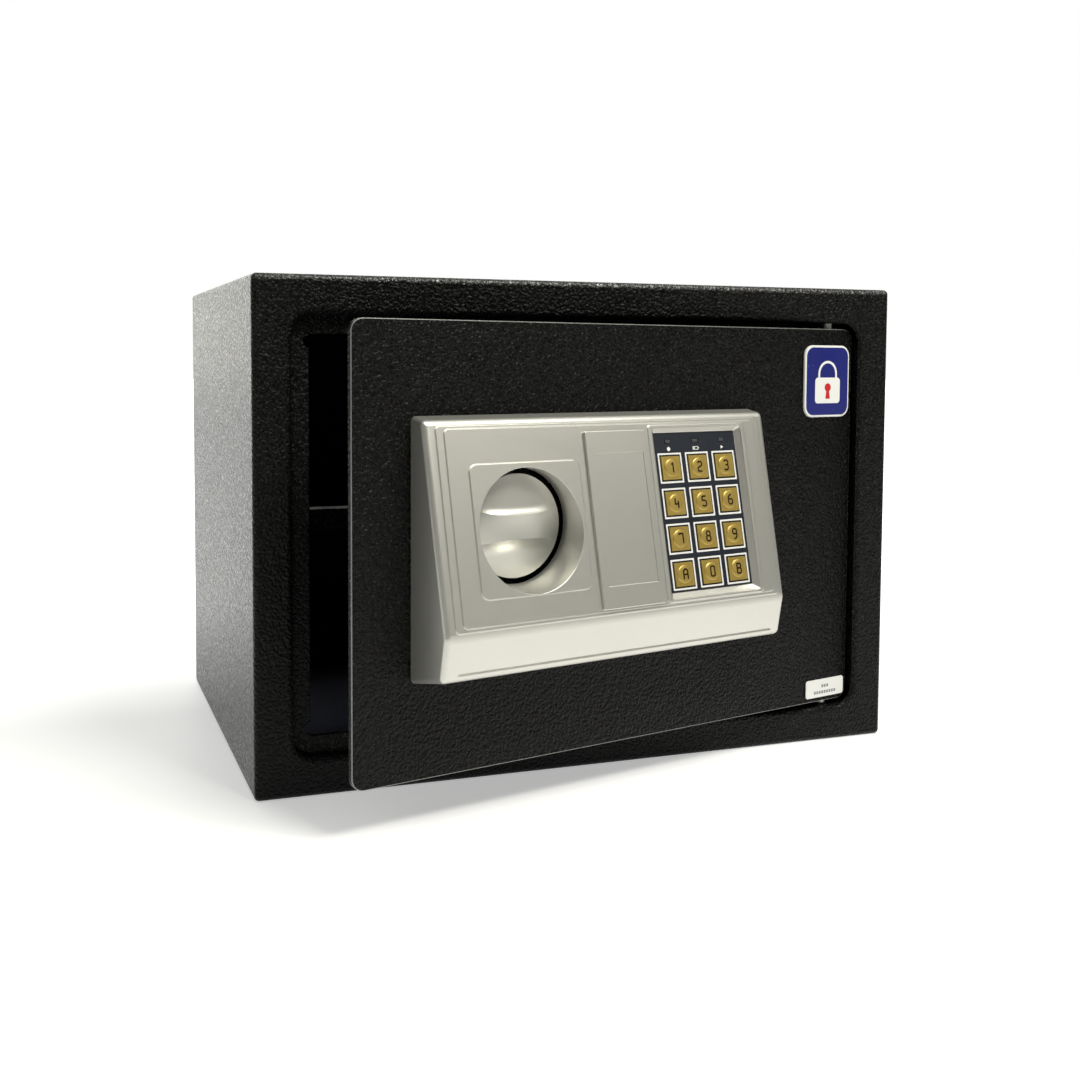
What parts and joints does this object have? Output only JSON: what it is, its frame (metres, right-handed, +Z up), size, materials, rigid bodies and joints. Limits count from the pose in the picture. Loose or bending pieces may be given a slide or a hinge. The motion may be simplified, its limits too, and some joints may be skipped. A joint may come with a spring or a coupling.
{
  "type": "electronic safe",
  "caption": "Small steel home safe with its door ajar, a keypad and dial housing on the door, bolt work inside and a carpeted floor.",
  "frame": {"origin": "on the underside of the cabinet, in its middle", "axes": "+X to the right, +Y to the back and +Z up, as seen by someone who faces the door"},
  "size_m": [0.35, 0.3382, 0.25],
  "materials": {
    "powder_coat": "black powder coat with an orange-peel wrinkle, semi-gloss",
    "door_coat": "black powder coat, finer wrinkle, bare edge showing",
    "carpet": "navy needle-punched carpet",
    "zinc_steel": "bright zinc plate",
    "polished_bolt": "nickel-plated, polished",
    "silver_paint": "moulded ABS in satin silver paint",
    "keypad_film": "blue-black printed film",
    "indicator_lens": "smoked lens",
    "gold_key": "satin gold dome key",
    "circuit_board": "green solder mask",
    "coil_winding": "enamelled copper wire",
    "lock_brass": "turned brass",
    "black_plastic": "fine-grained moulded black plastic",
    "red_plastic": "smooth red plastic",
    "battery_wrap": "printed shrink sleeve",
    "cable_sheath": "black sleeve",
    "badge_enamel": "blue domed badge with a white rim",
    "label_paper": "white printed label"
  },
  "bodies": {
    "cabinet": {"body_shell": "powder_coat", "front_frame": "powder_coat", "back_plate": "powder_coat", "floor_mat": "carpet", "shelf": "powder_coat", "shelf_bracket_left": "powder_coat", "shelf_bracket_right": "powder_coat", "hinge_tab_top": "powder_coat", "hinge_tab_bottom": "powder_coat"},
    "door": {"door_plate": "door_coat", "inner_cover": "powder_coat", "cover_screw_1": "zinc_steel", "cover_screw_2": "zinc_steel", "cover_screw_3": "zinc_steel", "cover_screw_4": "zinc_steel", "hinge_block_top": "powder_coat", "hinge_block_bottom": "powder_coat", "hinge_pin_top": "zinc_steel", "hinge_pin_bottom": "zinc_steel", "lock_housing": "silver_paint", "keypad_panel": "keypad_film", "indicator_lens": "indicator_lens", "keypad_board": "circuit_board", "badge": "badge_enamel", "rating_label": "label_paper", "guide_stud_upper": "zinc_steel", "guide_stud_lower": "zinc_steel", "solenoid_frame": "zinc_steel", "solenoid_coil": "coil_winding", "lock_barrel": "lock_brass", "battery_holder": "black_plastic", "battery_cell_1": "battery_wrap", "battery_cell_2": "battery_wrap", "battery_cell_3": "battery_wrap", "battery_cell_4": "battery_wrap", "wire_loom": "cable_sheath"},
    "dial_unit": {"dial": "silver_paint", "crank": "zinc_steel"},
    "bolt_work": {"bolt_carriage": "zinc_steel", "live_bolt_upper": "polished_bolt", "live_bolt_lower": "polished_bolt"},
    "plunger": {"solenoid_plunger": "polished_bolt"},
    "key_lock": {"lock_plug": "lock_brass", "lock_lever": "zinc_steel"},
    "cover": {"lock_cover": "silver_paint"},
    "lid": {"battery_lid": "black_plastic"},
    "reset": {"reset_button": "red_plastic"},
    "key_body_1": {"key_1": "gold_key"},
    "key_body_2": {"key_2": "gold_key"},
    "key_body_3": {"key_3": "gold_key"},
    "key_body_4": {"key_4": "gold_key"},
    "key_body_5": {"key_5": "gold_key"},
    "key_body_6": {"key_6": "gold_key"},
    "key_body_7": {"key_7": "gold_key"},
    "key_body_8": {"key_8": "gold_key"},
    "key_body_9": {"key_9": "gold_key"},
    "key_body_A": {"key_A": "gold_key"},
    "key_body_0": {"key_0": "gold_key"},
    "key_body_B": {"key_B": "gold_key"}
  },
  "joints": [
    {"name": "door_hinge", "type": "hinge", "parent": "cabinet", "child": "door", "pos_m": [0.141, -0.116, 0], "axis": [0, 0, 1], "range_deg": [-13.5, 95]},
    {"name": "dial_turn", "type": "hinge", "parent": "door", "child": "dial_unit", "pos_m": [-0.06642, -0.173, 0.1345], "axis": [0.2334, -0.9724, 0], "range_deg": [0, 70]},
    {"name": "bolt_slide", "type": "slide", "parent": "door", "child": "bolt_work", "axis": [-0.9724, -0.2334, 0], "range_m": [0, 0.01835]},
    {"name": "plunger_pull", "type": "slide", "parent": "door", "child": "plunger", "axis": [0, 0, 1], "range_m": [0, 0.003], "stiffness_N_per_m": 40, "springref_m": -0.001},
    {"name": "key_lock_turn", "type": "hinge", "parent": "door", "child": "key_lock", "pos_m": [-0.01557, -0.16079, 0.12], "axis": [0.2334, -0.9724, 0], "range_deg": [0, 90]},
    {"name": "cover_pull", "type": "slide", "parent": "door", "child": "cover", "axis": [0.2284, -0.9514, 0.2066], "range_m": [0, 0.02]},
    {"name": "lid_slide", "type": "slide", "parent": "door", "child": "lid", "axis": [-0.9724, -0.2334, 0], "range_m": [0, 0.066]},
    {"name": "reset_press", "type": "slide", "parent": "door", "child": "reset", "axis": [0.2334, -0.9724, 0], "range_m": [0, 0.002], "stiffness_N_per_m": 200},
    {"name": "key_1_press", "type": "slide", "parent": "door", "child": "key_body_1", "axis": [-0.2284, 0.9514, -0.2066], "range_m": [0, 0.0006], "stiffness_N_per_m": 400},
    {"name": "key_2_press", "type": "slide", "parent": "door", "child": "key_body_2", "axis": [-0.2284, 0.9514, -0.2066], "range_m": [0, 0.0006], "stiffness_N_per_m": 400},
    {"name": "key_3_press", "type": "slide", "parent": "door", "child": "key_body_3", "axis": [-0.2284, 0.9514, -0.2066], "range_m": [0, 0.0006], "stiffness_N_per_m": 400},
    {"name": "key_4_press", "type": "slide", "parent": "door", "child": "key_body_4", "axis": [-0.2284, 0.9514, -0.2066], "range_m": [0, 0.0006], "stiffness_N_per_m": 400},
    {"name": "key_5_press", "type": "slide", "parent": "door", "child": "key_body_5", "axis": [-0.2284, 0.9514, -0.2066], "range_m": [0, 0.0006], "stiffness_N_per_m": 400},
    {"name": "key_6_press", "type": "slide", "parent": "door", "child": "key_body_6", "axis": [-0.2284, 0.9514, -0.2066], "range_m": [0, 0.0006], "stiffness_N_per_m": 400},
    {"name": "key_7_press", "type": "slide", "parent": "door", "child": "key_body_7", "axis": [-0.2284, 0.9514, -0.2066], "range_m": [0, 0.0006], "stiffness_N_per_m": 400},
    {"name": "key_8_press", "type": "slide", "parent": "door", "child": "key_body_8", "axis": [-0.2284, 0.9514, -0.2066], "range_m": [0, 0.0006], "stiffness_N_per_m": 400},
    {"name": "key_9_press", "type": "slide", "parent": "door", "child": "key_body_9", "axis": [-0.2284, 0.9514, -0.2066], "range_m": [0, 0.0006], "stiffness_N_per_m": 400},
    {"name": "key_A_press", "type": "slide", "parent": "door", "child": "key_body_A", "axis": [-0.2284, 0.9514, -0.2066], "range_m": [0, 0.0006], "stiffness_N_per_m": 400},
    {"name": "key_0_press", "type": "slide", "parent": "door", "child": "key_body_0", "axis": [-0.2284, 0.9514, -0.2066], "range_m": [0, 0.0006], "stiffness_N_per_m": 400},
    {"name": "key_B_press", "type": "slide", "parent": "door", "child": "key_body_B", "axis": [-0.2284, 0.9514, -0.2066], "range_m": [0, 0.0006], "stiffness_N_per_m": 400}
  ],
  "couplings": [
    {"joint": "dial_turn", "follows": "bolt_slide", "rad_per_m": 66.563}
  ]
}
